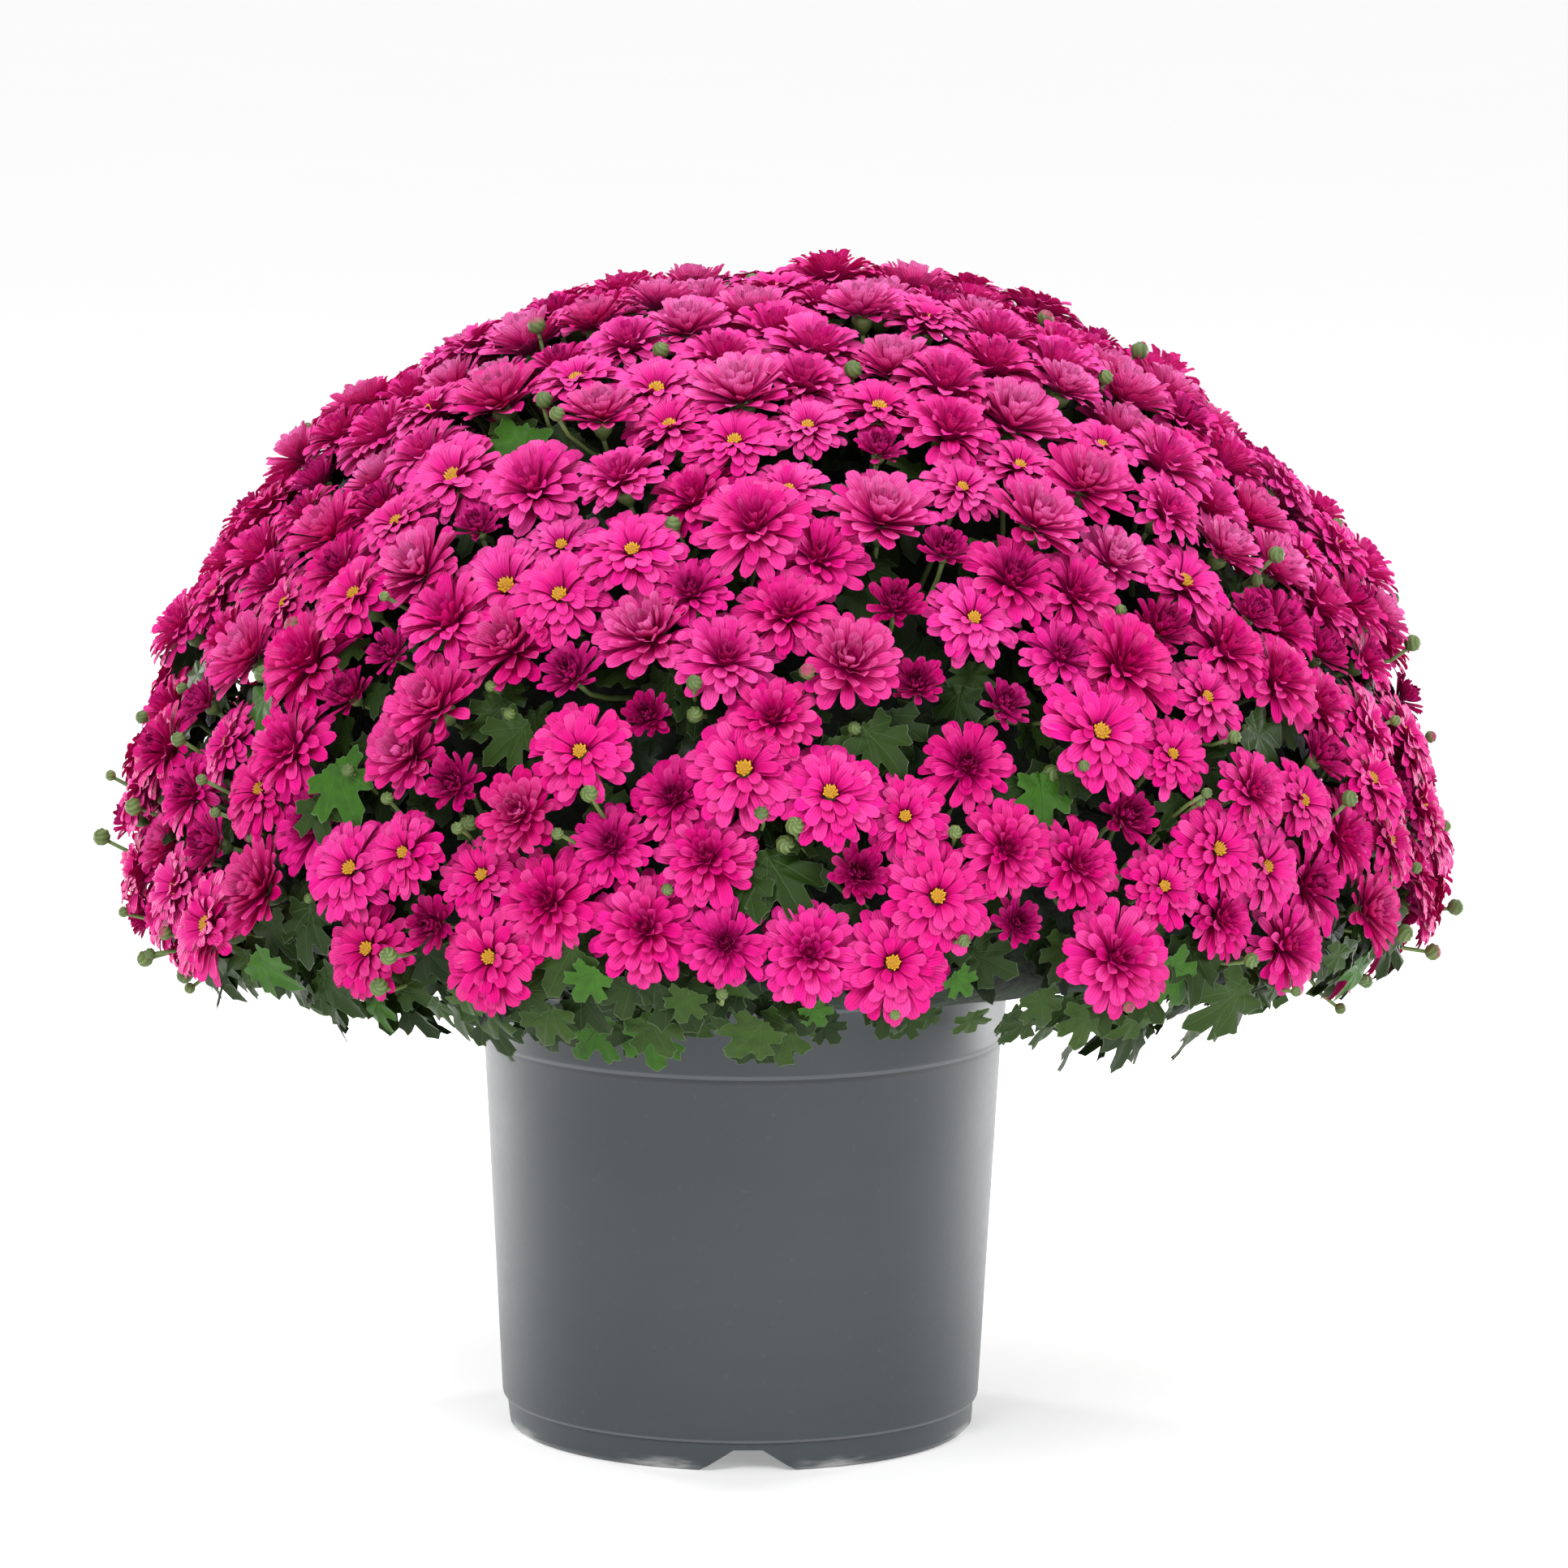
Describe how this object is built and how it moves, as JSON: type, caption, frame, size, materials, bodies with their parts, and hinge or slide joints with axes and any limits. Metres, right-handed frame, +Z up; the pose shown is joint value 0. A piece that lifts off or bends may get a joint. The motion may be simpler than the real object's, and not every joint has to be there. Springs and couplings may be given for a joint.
{
  "type": "pot chrysanthemum",
  "caption": "Domed garden chrysanthemum covered in double magenta blooms over lobed green leaves, standing in a round dark grey nursery pot.",
  "frame": {"origin": "centre of the underside of the pot, on the ground", "axes": "+Z up along the pot's axis, -Y towards the front that the picture shows, +X to its right"},
  "size_m": [0.6508, 0.6472, 0.5685],
  "materials": {
    "pot_plastic": "satin",
    "soil": "matte",
    "leaf": "satin",
    "stem": "satin",
    "petal": "matte",
    "disc": "matte"
  },
  "bodies": {
    "root": {"pot": "pot_plastic", "soil": "soil", "stem_01": "leaf", "stem_02": "leaf", "stem_03": "leaf", "stem_04": "leaf", "stem_05": "leaf", "stem_06": "leaf", "stem_07": "leaf", "stem_08": "leaf", "spray_01": "petal", "spray_02": "petal", "spray_03": "petal", "spray_04": "petal", "spray_05": "petal", "spray_06": "petal", "spray_07": "petal", "spray_08": "petal", "spray_09": "petal", "spray_10": "petal", "spray_11": "petal", "spray_12": "petal", "spray_13": "petal", "spray_14": "petal", "spray_15": "petal", "spray_16": "petal", "spray_17": "petal", "spray_18": "petal", "spray_19": "petal", "spray_20": "petal", "spray_21": "petal", "spray_22": "petal", "spray_23": "petal", "spray_24": "petal", "spray_25": "petal", "spray_26": "petal", "spray_27": "petal", "spray_28": "petal", "spray_29": "petal", "spray_30": "petal", "spray_31": "petal", "spray_32": "petal", "spray_33": "petal", "spray_34": "petal", "spray_35": "petal", "spray_36": "petal", "spray_37": "petal", "spray_38": "petal", "spray_39": "petal", "spray_40": "petal"}
  },
  "joints": []
}
